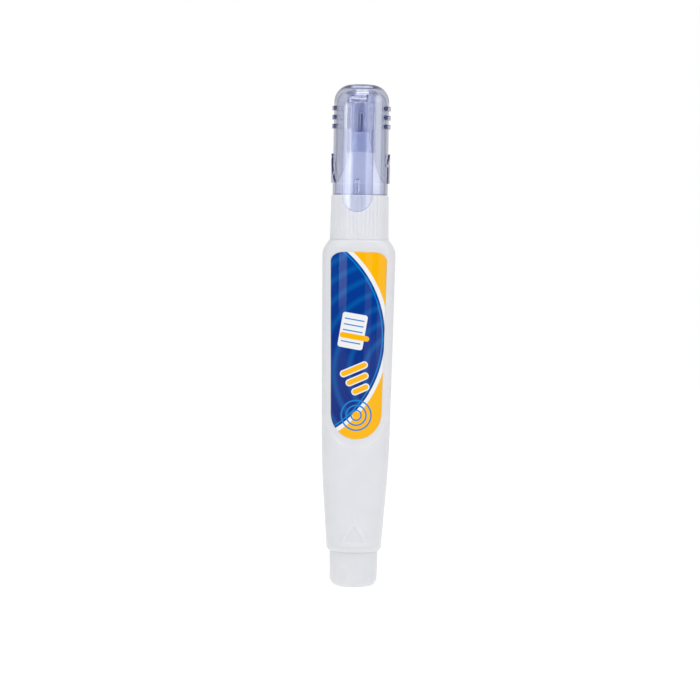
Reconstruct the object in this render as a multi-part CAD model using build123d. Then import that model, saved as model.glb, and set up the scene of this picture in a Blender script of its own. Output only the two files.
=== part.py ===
from build123d import *

import os
from math import radians, sin, sqrt

# Correction pen standing on its tail, in millimetres.
# Z runs up the pen from the flat end of the tail to the crown of the cap.
# The label and the pocket clip face -Y.

# Lengths along the pen, from the tail upwards
tail_length = 9.3
bottle_length = 82.2
collar_gap = 0.15
collar_length = 11.4
spigot_length = 3.2
cone_length = 13.3
tip_exposed = 5.2
needle_protrusion = 0.5
cap_length = 28.9

# Clearances
seat_gap = 0.05
press_gap = 0.02
slide_gap = 0.05

# Bottle: oval body that tapers to a round base, with a round neck
base_radius = 7.13
base_round = 0.9
base_lip = 2.0
bend_height = 23.7
bend_blend = 7.0
bend_half_width = 8.85
bend_half_depth = 7.35
top_half_width = 9.67
top_half_depth = 7.75
upper_steps = 4
shoulder_radius = 7.7
shoulder_drop = 5.5
shoulder_overlap = 0.2
shoulder_round = 1.2
bottle_wall = 1.1
neck_radius = 6.1
neck_bore_radius = 4.6
neck_length = 9.0
neck_bead = 0.3

# Label and the shallow panel that it lies in
label_foot_height = 29.6
label_height = 49.3
label_foot_radius = 6.65
label_top_half_width = 7.4
label_corner = 2.9
label_thickness = 0.1
panel_depth = 0.25
panel_margin = 0.9
panel_foot_margin = 2.2

# Raised triangular frame low on the bottle's front
frame_start = 1.9
frame_height = 7.2
frame_half_width = 3.6
frame_line = 0.8
frame_rise = 0.2

# Tail plug: a cup pressed into the bottle's base, scooped twice in front and twice behind
tail_top_radius = 6.36
tail_foot_radius = 6.22
tail_round = 2.2
tail_floor = 1.6
plug_radius = 5.3
plug_wall = 0.9
plug_depth = 5.5
plug_bead = 0.25
scallop_angle = 31.0
scallop_radius = 4.0
scallop_depth = 0.38
scallop_height = 5.4

# Nozzle head: ribbed collar, spigot for the cap and flared cone in one moulding
collar_base_radius = 7.72
collar_top_radius = 7.53
collar_round = 0.35
collar_chamfer = 0.2
collar_lip = 0.6
rib_count = 44
rib_groove_radius = 0.34
rib_groove_depth = 0.14
spigot_radius = 6.25
spigot_round = 0.4
cone_base_radius = 5.7
cone_hollow = 0.55
nose_radius = 2.0
nose_round = 0.25
head_roof = 2.4
seal_length = 4.6
seat_bore_radius = 2.3
spring_chamber_radius = 1.75
spring_chamber_length = 9.2
rod_bore_radius = 0.65

# Metal tip, valve needle, spring and spring seat
tip_radius = 0.8
tip_bore_radius = 0.5
tip_mouth_radius = 0.28
tip_mouth_length = 0.3
tip_seat_length = 0.5
tip_round = 0.45
tip_shank = 3.3
needle_radius = 0.36
needle_point_radius = 0.24
needle_head_radius = 1.35
needle_head_length = 0.8
needle_head_drop = 1.0
needle_head_flat = 1.05
needle_stem_radius = 0.7
needle_stem_length = 2.2
spring_wire = 0.28
spring_mean_radius = 1.2
spring_turns = 6
seat_length = 4.0
seat_hole_radius = 0.55
seat_guide_radius = 0.9
seat_guide_length = 1.2
seat_slot_width = 0.9
seat_slot_depth = 1.0

# Mixing ball, loose in the bottle
ball_radius = 2.75

# Cap: clear shell with a sealing sleeve, pocket clip, grip ribs and a raised mark on each side
cap_turn = -4.8
cap_rim_radius = 7.26
cap_crown_radius = 7.2
cap_corner = 4.6
cap_wall = 0.96
cap_roof = 1.2
cap_rim_round = 0.3
sleeve_start = 11.2
sleeve_radius = 3.85
sleeve_wall = 0.65
sleeve_round = 0.25
clip_half_width = 3.95
clip_gap = 1.25
clip_thickness = 1.3
clip_overhang = 4.5
clip_top_height = 23.9
clip_bridge_length = 6.8
clip_neck_half_width = 1.95
clip_neck_rise = 1.6
clip_corner = 1.1
clip_edge_round = 0.3
clip_bead_radius = 0.55
clip_bead_height = 0.6
clip_bead_length = 3.0
grip_rib_count = 3
grip_rib_pitch = 2.36
grip_rib_first = 17.9
grip_rib_half_height = 0.6
grip_rib_rise = 0.5
grip_rib_angle = 60.0
mark_start = 3.1
mark_rise = 0.45
arrow_shaft_length = 4.3
arrow_head_length = 3.4
arrow_shaft_half_width = 1.7
arrow_head_half_width = 3.2
triangle_half_width = 4.2

# Heights that follow from the lengths
bottle_base = tail_length
bottle_top = bottle_base + bottle_length
neck_top = bottle_top + neck_length
collar_base = bottle_top + collar_gap
collar_top = collar_base + collar_length
spigot_top = collar_top + spigot_length
nose_top = spigot_top + cone_length
tip_end = nose_top + tip_exposed
cap_rim = collar_top + seat_gap
cap_top = cap_rim + cap_length

head_ceiling = neck_top + seat_gap
seal_foot = head_ceiling - seal_length
chamber_floor = head_ceiling + head_roof
chamber_roof = chamber_floor + spring_chamber_length
tip_foot = nose_top - tip_shank
needle_head_top = chamber_roof - needle_head_drop
needle_head_foot = needle_head_top - needle_head_length
seat_top = chamber_floor - seat_gap
cap_bore_radius = spigot_radius + slide_gap


def revolved(*outline):
    """Solid of revolution about Z from edges drawn in the XZ plane, left of +X."""
    return revolve(make_face(outline), Axis.Z)


def polygon_revolved(*corners):
    """Solid of revolution about Z from straight edges through (radius, height) corners."""
    points = [(radius, 0, height) for radius, height in corners]
    return revolve(make_face(Polyline(*points, close=True)), Axis.Z)


def disc(radius, low, high):
    """Plain cylinder about Z between two heights."""
    return extrude(Plane.XY.offset(low) * Circle(radius), high - low)


def tube(outer, inner, low, high):
    """Plain ring about Z between two heights."""
    return disc(outer, low, high) - disc(inner, low, high)


def broken_line(height, at_base, at_bend, at_top):
    """Half size of the bottle at a height, on two straight tapers that meet at the bend."""
    if height < bend_height:
        return at_base + (at_bend - at_base) * height / bend_height
    share = (height - bend_height) / (bottle_length - bend_height)
    return at_bend + (at_top - at_bend) * share


def oval_body(inset):
    """Bottle's oval body, taken in by an inset all round, with the bend blended by the loft."""
    low, high = bend_height - bend_blend, bend_height + bend_blend
    step = (bottle_length - high) / upper_steps
    heights = [0, low / 2, low] + [high + step * number for number in range(upper_steps + 1)]
    sections = []
    for height in heights:
        half_width = broken_line(height, base_radius, bend_half_width, top_half_width)
        half_depth = broken_line(height, base_radius, bend_half_depth, top_half_depth)
        plane = Plane.XY.offset(bottle_base + height)
        sections.append(plane * Ellipse(half_width - inset, half_depth - inset))
    return loft(sections)


def shoulder_envelope(inset):
    """Round envelope whose arc trims the oval body to the shoulder, taken in by an inset."""
    middle = top_half_width + shoulder_overlap - shoulder_radius
    equator = bottle_top - shoulder_drop
    arc_radius = shoulder_radius - inset
    roof = bottle_top - inset
    rise = roof - equator
    land = middle + sqrt(arc_radius**2 - rise**2)
    half_rise = rise / 2
    halfway = middle + sqrt(arc_radius**2 - half_rise**2)
    side = middle + arc_radius
    return revolved(
        Line((0, 0, bottle_base), (side, 0, bottle_base)),
        Line((side, 0, bottle_base), (side, 0, equator)),
        ThreePointArc((side, 0, equator), (halfway, 0, equator + half_rise), (land, 0, roof)),
        Line((land, 0, roof), (0, 0, roof)),
        Line((0, 0, roof), (0, 0, bottle_base)),
    )


def tongue_outline(foot, top, foot_radius, top_half_width, corner):
    """Face in the XZ plane: straight sides, rounded top corners and a half-round foot."""
    arc_ends = foot + foot_radius
    left_foot, right_foot = (-foot_radius, 0, arc_ends), (foot_radius, 0, arc_ends)
    left_top, right_top = (-top_half_width, 0, top), (top_half_width, 0, top)
    face = make_face(
        [
            ThreePointArc(left_foot, (0, 0, foot), right_foot),
            Line(right_foot, right_top),
            Line(right_top, left_top),
            Line(left_top, left_foot),
        ]
    )
    return fillet(face.vertices().sort_by(Axis.Z)[-2:], corner)


def front_and_back(outline):
    """Prism through the whole pen from a face in the XZ plane."""
    return extrude(outline, top_half_width, both=True)


def label_outline():
    foot = bottle_base + label_foot_height
    return tongue_outline(
        foot, foot + label_height, label_foot_radius, label_top_half_width, label_corner
    )


def panel_outline():
    foot = bottle_base + label_foot_height - panel_foot_margin
    top = bottle_base + label_foot_height + label_height + panel_margin
    return tongue_outline(
        foot,
        top,
        label_foot_radius + panel_margin,
        label_top_half_width + panel_margin,
        label_corner + panel_margin,
    )


def raised_frame():
    """Triangular frame, to be felt, that stands a little proud of the bottle's front."""
    foot = bottle_base + frame_start
    point = (0, 0, foot + frame_height)
    left, right = (-frame_half_width, 0, foot), (frame_half_width, 0, foot)
    triangle = make_face(Polyline(left, right, point, close=True))
    outline = triangle - offset(triangle, -frame_line, kind=Kind.INTERSECTION)
    skin = oval_body(-frame_rise) - oval_body(bottle_wall / 2)
    return skin & extrude(outline, top_half_width)


def make_bottle():
    """Squeezable bottle: oval shell, round neck with a snap bead, open base for the plug."""
    body = oval_body(0) & shoulder_envelope(0)
    crease = body.edges().filter_by(lambda edge: edge.center().Z > bottle_top - shoulder_drop)
    crease = crease.filter_by(lambda edge: edge.bounding_box().min.Z < bottle_top - shoulder_round)
    body = fillet(crease, shoulder_round)
    base_edge = body.edges().group_by(Axis.Z)[0]
    body = fillet(base_edge, base_round)
    panel_skin = oval_body(0) - oval_body(panel_depth)
    body -= panel_skin & front_and_back(panel_outline())
    body += raised_frame()

    bead_height = bottle_top + neck_length / 2
    bead = polygon_revolved(
        (neck_radius, bead_height - neck_bead),
        (neck_radius + neck_bead, bead_height),
        (neck_radius, bead_height + neck_bead),
        (neck_bore_radius, bead_height),
    )
    neck = disc(neck_radius, bottle_top - bottle_wall, neck_top)
    chamber = oval_body(bottle_wall) & shoulder_envelope(bottle_wall)
    chamber -= disc(base_radius, bottle_base, bottle_base + base_lip)
    base_hole = disc(plug_radius + press_gap, bottle_base, bottle_base + base_lip)
    neck_hole = disc(neck_bore_radius, bottle_top - 2 * bottle_wall, neck_top)
    return body + neck + bead - chamber - base_hole - neck_hole


def make_label():
    """Printed film on the floor of the front panel."""
    floor = panel_depth - press_gap
    film = oval_body(floor - label_thickness) - oval_body(floor)
    front = extrude(label_outline(), top_half_width)
    return film & front


def make_tail_plug():
    """Cup that closes the base: scooped outside, hollow inside, with a snap bead."""
    plug_top = bottle_base + plug_depth
    shelf = bottle_base - seat_gap
    cup_radius = plug_radius - plug_wall
    corner_middle = (tail_foot_radius - tail_round * (1 - sqrt(0.5)), 0, tail_round * (1 - sqrt(0.5)))
    outside = revolved(
        Line((0, 0, 0), (tail_foot_radius - tail_round, 0, 0)),
        ThreePointArc(
            (tail_foot_radius - tail_round, 0, 0), corner_middle, (tail_foot_radius, 0, tail_round)
        ),
        Line((tail_foot_radius, 0, tail_round), (tail_top_radius, 0, shelf)),
        Line((tail_top_radius, 0, shelf), (0, 0, shelf)),
        Line((0, 0, shelf), (0, 0, 0)),
    )
    for middle in (-90, 90):
        for side in (-scallop_angle, scallop_angle):
            outside -= Rot(0, 0, middle + side) * scallop_cutter()

    bead_foot = bottle_base + base_lip + seat_gap
    bead = polygon_revolved(
        (plug_radius - plug_wall / 2, bead_foot),
        (plug_radius + plug_bead, bead_foot),
        (plug_radius, bead_foot + 2 * plug_bead),
        (plug_radius - plug_wall / 2, bead_foot + 2 * plug_bead),
    )
    spigot = disc(plug_radius, shelf, plug_top)
    return outside + spigot + bead - disc(cup_radius, tail_floor, plug_top)


def scallop_cutter():
    """Upright round-topped scoop on the +X side of the tail, open at the foot."""
    axis_distance = tail_foot_radius - scallop_depth + scallop_radius
    straight = scallop_height - sqrt(scallop_depth * (2 * scallop_radius - scallop_depth))
    scoop = Pos(axis_distance, 0, 0) * disc(scallop_radius, 0, straight)
    return scoop + Pos(axis_distance, 0, straight) * Sphere(scallop_radius)


def make_nozzle_head():
    """Collar, spigot and cone outside; neck socket, seal, valve chamber and tip bore inside."""
    collar = polygon_revolved(
        (0, collar_base),
        (collar_base_radius, collar_base),
        (collar_top_radius, collar_top),
        (0, collar_top),
    )
    collar = fillet(collar.edges().group_by(Axis.Z)[0], collar_round)
    collar = chamfer(collar.edges().group_by(Axis.Z)[-1], collar_chamfer)
    for groove in PolarLocations(0, rib_count):
        collar -= groove * collar_groove()

    head = collar + nozzle_cone()
    socket = tube(neck_radius + press_gap, neck_bore_radius - press_gap, collar_base, head_ceiling)
    below_seal = disc(neck_bore_radius, collar_base, seal_foot)
    bead_height = bottle_top + neck_length / 2
    bead_reach = neck_bead + press_gap
    bead_groove = polygon_revolved(
        (neck_radius, bead_height - bead_reach),
        (neck_radius + bead_reach, bead_height),
        (neck_radius, bead_height + bead_reach),
    )
    seat_bore = disc(seat_bore_radius, seal_foot, chamber_floor)
    chamber = disc(spring_chamber_radius, chamber_floor, chamber_roof)
    rod_bore = disc(rod_bore_radius, chamber_roof, tip_foot)
    tip_bore = disc(tip_radius + press_gap, tip_foot - seat_gap, nose_top)
    return head - socket - below_seal - bead_groove - seat_bore - chamber - rod_bore - tip_bore


def collar_groove():
    """Round-bottomed groove along the collar's taper, on its +X side, above the plain lip."""
    foot = (collar_base_radius - rib_groove_depth + rib_groove_radius, 0, collar_base)
    top = (collar_top_radius - rib_groove_depth + rib_groove_radius, 0, collar_top + collar_lip)
    run = Line(foot, top)
    groove = sweep(Plane(foot, z_dir=run % 0) * Circle(rib_groove_radius), run)
    return groove - disc(2 * collar_base_radius, 0, collar_base + collar_lip)


def nozzle_cone():
    """Spigot that the cap grips, and the hollow-sided cone that carries the tip."""
    spigot = fillet(
        disc(spigot_radius, collar_top - collar_round, spigot_top).edges().group_by(Axis.Z)[-1],
        spigot_round,
    )
    base, nose = (cone_base_radius, 0, spigot_top), (nose_radius, 0, nose_top)
    middle = ((base[0] + nose[0]) / 2 - cone_hollow, 0, (spigot_top + nose_top) / 2)
    cone = revolved(
        Line((0, 0, spigot_top), base),
        ThreePointArc(base, middle, nose),
        Line(nose, (0, 0, nose_top)),
        Line((0, 0, nose_top), (0, 0, spigot_top)),
    )
    cone = fillet(cone.edges().group_by(Axis.Z)[-1], nose_round)
    return spigot + cone


def make_metal_tip():
    """Thin steel tube with a rounded end and a conical seat just inside its mouth."""
    seat_end = tip_end - tip_mouth_length
    outside = disc(tip_radius, tip_foot, tip_end)
    outside = fillet(outside.edges().group_by(Axis.Z)[-1], tip_round)
    bore = polygon_revolved(
        (0, tip_foot),
        (tip_bore_radius, tip_foot),
        (tip_bore_radius, seat_end - tip_seat_length),
        (tip_mouth_radius, seat_end),
        (tip_mouth_radius, tip_end),
        (0, tip_end),
    )
    return outside - bore


def make_valve_needle():
    """Needle that closes the tip from inside, with a flatted head that the spring pushes."""
    seat_end = tip_end - tip_mouth_length - seat_gap
    shoulder = seat_end - tip_seat_length
    rod = polygon_revolved(
        (0, needle_head_top),
        (needle_radius, needle_head_top),
        (needle_radius, shoulder),
        (needle_point_radius, seat_end),
        (needle_point_radius, tip_end + needle_protrusion),
        (0, tip_end + needle_protrusion),
    )
    rod = fillet(rod.edges().group_by(Axis.Z)[-1], needle_point_radius / 2)
    head = disc(needle_head_radius, needle_head_foot, needle_head_top)
    flats = RegularPolygon(needle_head_flat, 3, major_radius=False)
    head &= extrude(Plane.XY.offset(needle_head_foot) * flats, needle_head_length)
    stem = disc(needle_stem_radius, needle_head_foot - needle_stem_length, needle_head_foot)
    return rod + head + stem


def spring_path():
    """Half-turn arcs, each tilted to climb its share of the pitch, that meet in line."""
    room = needle_head_foot - seat_top - spring_wire - 2 * seat_gap
    climb = room / spring_turns / 2
    reach = sqrt(spring_mean_radius**2 + (climb / 2) ** 2)
    side, height, arcs = spring_mean_radius, seat_top + seat_gap + spring_wire / 2, []
    for bulge in (reach, -reach) * spring_turns:
        start, end = (side, 0, height), (-side, 0, height + climb)
        arcs.append(ThreePointArc(start, (0, bulge, height + climb / 2), end))
        side, height = -side, height + climb
    return Wire(arcs)


def least_spring_gap(path):
    """Least clear distance between the spring's turns, measured on points along the wire."""
    points_per_turn = 24
    count = points_per_turn * spring_turns
    points = [path @ (number / count) for number in range(count + 1)]
    distances = []
    for number, point in enumerate(points):
        for other in points[number + points_per_turn // 2 :]:
            distances.append((point - other).length)
    return min(distances) - spring_wire


def make_valve_spring():
    """Compression spring between the spring seat and the needle's head."""
    path = spring_path()
    print(f"least gap between the spring's turns: {least_spring_gap(path):.2f} mm")
    section = Plane(path @ 0, z_dir=path % 0) * Circle(spring_wire / 2)
    return sweep(section, path)


def make_spring_seat():
    """Bush that holds the spring up in the head, bored and slotted for the fluid."""
    seat_foot = seat_top - seat_length
    bush = disc(seat_bore_radius - press_gap, seat_foot, seat_top)
    guide = disc(seat_guide_radius, seat_top, seat_top + seat_guide_length)
    slot = Box(2 * seat_bore_radius, seat_slot_width, 2 * seat_slot_depth)
    slots = Pos(0, 0, seat_foot) * slot + Pos(0, 0, seat_foot) * (Rot(0, 0, 90) * slot)
    hole = disc(seat_hole_radius, seat_foot, seat_top + seat_guide_length)
    return bush + guide - slots - hole


def make_mixing_ball():
    """Steel ball that lies on the floor of the tail."""
    return Pos(0, 0, tail_floor + seat_gap + ball_radius) * Sphere(ball_radius)


def make_cap():
    """Clear cap in one moulding, turned as it was pushed on."""
    shell = cap_shell()
    shell += cap_clip()
    for rib in grip_ribs():
        shell += rib
        shell += Rot(0, 0, 180) * rib
    shell += pull_arrow()
    shell += Rot(0, 0, 180) * grip_triangle()
    cap = shell - cap_hollow() + cap_sleeve()
    return Rot(0, 0, cap_turn) * cap


def crowned_profile(rim, rim_radius, crown_radius, top, corner):
    """Tapered bell about Z with a rounded crown."""
    corner_foot = top - corner
    flat = crown_radius - corner
    bulge = (flat + corner * sqrt(0.5), 0, corner_foot + corner * sqrt(0.5))
    return revolved(
        Line((0, 0, rim), (rim_radius, 0, rim)),
        Line((rim_radius, 0, rim), (crown_radius, 0, corner_foot)),
        ThreePointArc((crown_radius, 0, corner_foot), bulge, (flat, 0, top)),
        Line((flat, 0, top), (0, 0, top)),
        Line((0, 0, top), (0, 0, rim)),
    )


def cap_shell():
    shell = crowned_profile(cap_rim, cap_rim_radius, cap_crown_radius, cap_top, cap_corner)
    return fillet(shell.edges().group_by(Axis.Z)[0], cap_rim_round)


def cap_hollow():
    crown_bore = cap_crown_radius - cap_wall
    return crowned_profile(
        cap_rim, cap_bore_radius, crown_bore, cap_top - cap_roof, cap_corner - cap_wall
    )


def cap_sleeve():
    """Sealing sleeve that hangs from the crown round the tip."""
    sleeve_foot = cap_rim + sleeve_start
    sleeve = tube(sleeve_radius, sleeve_radius - sleeve_wall, sleeve_foot, cap_top - cap_roof)
    return fillet(sleeve.edges().group_by(Axis.Z)[0], sleeve_round)


def cap_clip():
    """Pocket clip: a curved tongue that hangs in front of the cap from a bridge at its top."""
    clip_inside = cap_rim_radius + clip_gap
    clip_outside = clip_inside + clip_thickness
    clip_foot = cap_rim - clip_overhang
    clip_top = cap_rim + clip_top_height
    outline = tongue_outline(clip_foot, clip_top, clip_half_width, clip_half_width, clip_corner)
    front = extrude(outline, clip_outside)
    tongue = tube(clip_outside, clip_inside, clip_foot, clip_top) & front
    front_edges = tongue.faces().sort_by(Axis.Y)[0].edges()
    tongue = fillet(front_edges, clip_edge_round)
    bridge_foot = clip_top - clip_bridge_length
    bridge_reach = clip_inside + clip_thickness / 2
    bridge = tube(bridge_reach, cap_crown_radius - cap_wall, bridge_foot, clip_top) & front
    return tongue + bridge + clip_neck(clip_top, bridge_reach) + clip_bead(clip_inside)


def clip_neck(clip_top, reach):
    """Narrow arch on top of the bridge that runs back into the crown."""
    root = cap_crown_radius - cap_wall
    foot = clip_top - clip_neck_rise
    crest = clip_top + clip_neck_rise
    halfway = clip_neck_rise * sqrt(0.5)
    bulge = (0, clip_neck_rise - halfway - reach, clip_top + halfway)
    profile = make_face(
        [
            Line((0, -root, foot), (0, -reach, foot)),
            Line((0, -reach, foot), (0, -reach, clip_top)),
            ThreePointArc((0, -reach, clip_top), bulge, (0, clip_neck_rise - reach, crest)),
            Line((0, clip_neck_rise - reach, crest), (0, -root, crest)),
            Line((0, -root, crest), (0, -root, foot)),
        ]
    )
    return extrude(profile, clip_neck_half_width, both=True)


def clip_bead(clip_inside):
    """Upright bead inside the tongue that grips the cloth."""
    foot = cap_rim + clip_bead_height
    bead = disc(clip_bead_radius, foot, foot + clip_bead_length)
    bead += Pos(0, 0, foot) * Sphere(clip_bead_radius)
    bead += Pos(0, 0, foot + clip_bead_length) * Sphere(clip_bead_radius)
    return Pos(0, -clip_inside, 0) * bead


def raised_on_side(outline, wall_radius, rise):
    """Pad with an outline drawn in the YZ plane, proud of the +X side of the cap's wall."""
    prism = extrude(outline, 2 * cap_rim_radius)
    return prism & tube(wall_radius + rise, wall_radius - cap_wall / 2, cap_rim, cap_top)


def grip_ribs():
    """Short round-ended ribs across the +X side of the cap."""
    reach = (cap_crown_radius + grip_rib_rise) * sin(radians(grip_rib_angle / 2))
    ribs = []
    for number in range(grip_rib_count):
        height = cap_rim + grip_rib_first + number * grip_rib_pitch
        outline = Plane.YZ * (Pos(0, height) * SlotOverall(2 * reach, 2 * grip_rib_half_height))
        ribs.append(raised_on_side(outline, cap_crown_radius, grip_rib_rise))
    return ribs


def pull_arrow():
    """Raised arrow that points up the +X side of the cap."""
    foot = cap_rim + mark_start
    shoulder = foot + arrow_shaft_length
    point = shoulder + arrow_head_length
    corners = [
        (-arrow_shaft_half_width, foot),
        (arrow_shaft_half_width, foot),
        (arrow_shaft_half_width, shoulder),
        (arrow_head_half_width, shoulder),
        (0, point),
        (-arrow_head_half_width, shoulder),
        (-arrow_shaft_half_width, shoulder),
    ]
    outline = make_face(Plane.YZ * Polyline(*corners, close=True))
    return raised_on_side(outline, cap_rim_radius, mark_rise)


def grip_triangle():
    """Raised triangle on the +X side of the cap, as tall as the arrow."""
    foot = cap_rim + mark_start
    point = foot + arrow_shaft_length + arrow_head_length
    corners = [(-triangle_half_width, foot), (triangle_half_width, foot), (0, point)]
    outline = make_face(Plane.YZ * Polyline(*corners, close=True))
    return raised_on_side(outline, cap_rim_radius, mark_rise)


pieces = {
    "bottle": make_bottle,
    "tail_plug": make_tail_plug,
    "front_label": make_label,
    "nozzle_head": make_nozzle_head,
    "metal_tip": make_metal_tip,
    "valve_needle": make_valve_needle,
    "valve_spring": make_valve_spring,
    "spring_seat": make_spring_seat,
    "mixing_ball": make_mixing_ball,
    "cap": make_cap,
}

os.makedirs("parts", exist_ok=True)
for name, make in pieces.items():
    export_step(make(), f"parts/{name}.step")
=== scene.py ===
from math import cos, hypot, pi, radians, sin, sqrt

import bmesh
import bpy
from mathutils import Matrix, Vector


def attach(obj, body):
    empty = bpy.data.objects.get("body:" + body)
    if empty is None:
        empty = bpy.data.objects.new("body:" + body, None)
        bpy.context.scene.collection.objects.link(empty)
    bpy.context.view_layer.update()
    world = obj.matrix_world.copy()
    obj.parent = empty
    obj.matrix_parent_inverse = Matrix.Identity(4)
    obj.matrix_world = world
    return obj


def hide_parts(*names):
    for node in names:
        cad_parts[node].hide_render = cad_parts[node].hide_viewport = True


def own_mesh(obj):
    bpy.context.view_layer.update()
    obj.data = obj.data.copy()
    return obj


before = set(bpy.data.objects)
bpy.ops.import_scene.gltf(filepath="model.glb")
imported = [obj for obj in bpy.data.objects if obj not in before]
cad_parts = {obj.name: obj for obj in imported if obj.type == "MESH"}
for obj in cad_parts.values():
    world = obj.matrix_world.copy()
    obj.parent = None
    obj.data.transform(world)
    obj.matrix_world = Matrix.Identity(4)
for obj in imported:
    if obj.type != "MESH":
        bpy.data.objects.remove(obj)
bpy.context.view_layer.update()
mm = 0.001
print("frame loaded:", sorted(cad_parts))


# mesh helpers

def meshObject(name, verts, faces):
    mesh = bpy.data.meshes.new(name)
    mesh.from_pydata([Vector(v) * mm for v in verts], [], faces)
    mesh.validate()
    obj = bpy.data.objects.new(name, mesh)
    bpy.context.scene.collection.objects.link(obj)
    return obj


def softShade(obj, sharpAngle=35):
    mesh = obj.data
    mesh.polygons.foreach_set("use_smooth", [True] * len(mesh.polygons))
    mesh.set_sharp_from_angle(angle=radians(sharpAngle))
    return obj


def skinRings(name, rings):
    # quads between neighbouring rings of equal length, and from the last ring back to the first
    count = len(rings[0])
    verts = [point for ring in rings for point in ring]
    faces = []
    for r in range(len(rings)):
        low, high = r * count, (r + 1) % len(rings) * count
        for i in range(count):
            j = (i + 1) % count
            faces.append((low + i, low + j, high + j, high + i))
    return meshObject(name, verts, faces)


def circleRing(radius, height, segments):
    turn = 2 * pi / segments
    return [(radius * cos(i * turn), radius * sin(i * turn), height) for i in range(segments)]


def latheObject(name, profile, segments):
    return skinRings(name, [circleRing(r, z, segments) for r, z in profile])


def roundCorner(centre, radius, startDeg, endDeg, steps):
    # points on an arc in the (radius, height) plane
    points = []
    for i in range(steps + 1):
        angle = radians(startDeg + (endDeg - startDeg) * i / steps)
        points.append((centre[0] + radius * cos(angle), centre[1] + radius * sin(angle)))
    return points


def spread(low, high, step):
    count = max(1, round((high - low) / step))
    return [low + (high - low) * i / count for i in range(count + 1)]


def softMin(a, b, width):
    share = max(width - abs(a - b), 0) / width
    return min(a, b) - share * share * width / 4


def softStep(value):
    t = min(max(value, 0), 1)
    return t * t * (3 - 2 * t)


def between(value, limits):
    return limits[0] < value < limits[1]


# geometry node trees

def groupTree(name, inputs):
    tree = bpy.data.node_groups.new(name, "GeometryNodeTree")
    tree.interface.new_socket(name="Geometry", in_out="OUTPUT", socket_type="NodeSocketGeometry")
    tree.interface.new_socket(name="Geometry", in_out="INPUT", socket_type="NodeSocketGeometry")
    for label, kind, default in inputs:
        socket = tree.interface.new_socket(name=label, in_out="INPUT", socket_type=kind)
        if default is not None:
            socket.default_value = default
    return tree, tree.nodes.new("NodeGroupInput"), tree.nodes.new("NodeGroupOutput")


def aroundAxisTree():
    # turns one sector into a full ring about Z
    tree, given, result = groupTree("aroundAxis", [
        ("Count", "NodeSocketInt", 6),
        ("Weld Distance", "NodeSocketFloat", 0.000002),
        ("Finish", "NodeSocketMaterial", None),
    ])
    nodes, links = tree.nodes, tree.links
    points = nodes.new("GeometryNodePoints")
    index = nodes.new("GeometryNodeInputIndex")
    share = nodes.new("ShaderNodeMath")
    share.operation = "DIVIDE"
    angle = nodes.new("ShaderNodeMath")
    angle.operation = "MULTIPLY"
    angle.inputs[1].default_value = 2 * pi
    turn = nodes.new("ShaderNodeCombineXYZ")
    place = nodes.new("GeometryNodeInstanceOnPoints")
    realize = nodes.new("GeometryNodeRealizeInstances")
    weld = nodes.new("GeometryNodeMergeByDistance")
    smooth = nodes.new("GeometryNodeSetShadeSmooth")
    paint = nodes.new("GeometryNodeSetMaterial")
    links.new(given.outputs["Count"], points.inputs["Count"])
    links.new(index.outputs[0], share.inputs[0])
    links.new(given.outputs["Count"], share.inputs[1])
    links.new(share.outputs[0], angle.inputs[0])
    links.new(angle.outputs[0], turn.inputs["Z"])
    links.new(points.outputs[0], place.inputs["Points"])
    links.new(given.outputs["Geometry"], place.inputs["Instance"])
    links.new(turn.outputs[0], place.inputs["Rotation"])
    links.new(place.outputs[0], realize.inputs[0])
    links.new(realize.outputs[0], weld.inputs["Geometry"])
    links.new(given.outputs["Weld Distance"], weld.inputs["Distance"])
    links.new(weld.outputs[0], smooth.inputs["Geometry"])
    links.new(smooth.outputs[0], paint.inputs["Geometry"])
    links.new(given.outputs["Finish"], paint.inputs["Material"])
    links.new(paint.outputs[0], result.inputs[0])
    return tree


def coilTree():
    # wire wound along a spiral that starts at the given height
    tree, given, result = groupTree("coil", [
        ("Turns", "NodeSocketFloat", 6.0),
        ("Mean Radius", "NodeSocketFloat", 0.0012),
        ("Height", "NodeSocketFloat", 0.007),
        ("Foot", "NodeSocketFloat", 0.1),
        ("Wire Radius", "NodeSocketFloat", 0.00014),
        ("Steps Per Coil", "NodeSocketInt", 240),
        ("Finish", "NodeSocketMaterial", None),
    ])
    nodes, links = tree.nodes, tree.links
    spiral = nodes.new("GeometryNodeCurveSpiral")
    section = nodes.new("GeometryNodeCurvePrimitiveCircle")
    section.inputs["Resolution"].default_value = 12
    lift = nodes.new("ShaderNodeCombineXYZ")
    move = nodes.new("GeometryNodeTransform")
    tube = nodes.new("GeometryNodeCurveToMesh")
    tube.inputs["Fill Caps"].default_value = True
    realize = nodes.new("GeometryNodeRealizeInstances")
    smooth = nodes.new("GeometryNodeSetShadeSmooth")
    paint = nodes.new("GeometryNodeSetMaterial")
    links.new(given.outputs["Steps Per Coil"], spiral.inputs["Resolution"])
    links.new(given.outputs["Turns"], spiral.inputs["Rotations"])
    links.new(given.outputs["Mean Radius"], spiral.inputs["Start Radius"])
    links.new(given.outputs["Mean Radius"], spiral.inputs["End Radius"])
    links.new(given.outputs["Height"], spiral.inputs["Height"])
    links.new(given.outputs["Wire Radius"], section.inputs["Radius"])
    links.new(given.outputs["Foot"], lift.inputs["Z"])
    links.new(spiral.outputs[0], move.inputs["Geometry"])
    links.new(lift.outputs[0], move.inputs["Translation"])
    links.new(move.outputs[0], tube.inputs["Curve"])
    links.new(section.outputs[0], tube.inputs["Profile Curve"])
    links.new(tube.outputs[0], realize.inputs[0])
    links.new(realize.outputs[0], smooth.inputs["Geometry"])
    links.new(smooth.outputs[0], paint.inputs["Geometry"])
    links.new(given.outputs["Finish"], paint.inputs["Material"])
    links.new(paint.outputs[0], result.inputs[0])
    return tree


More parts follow.
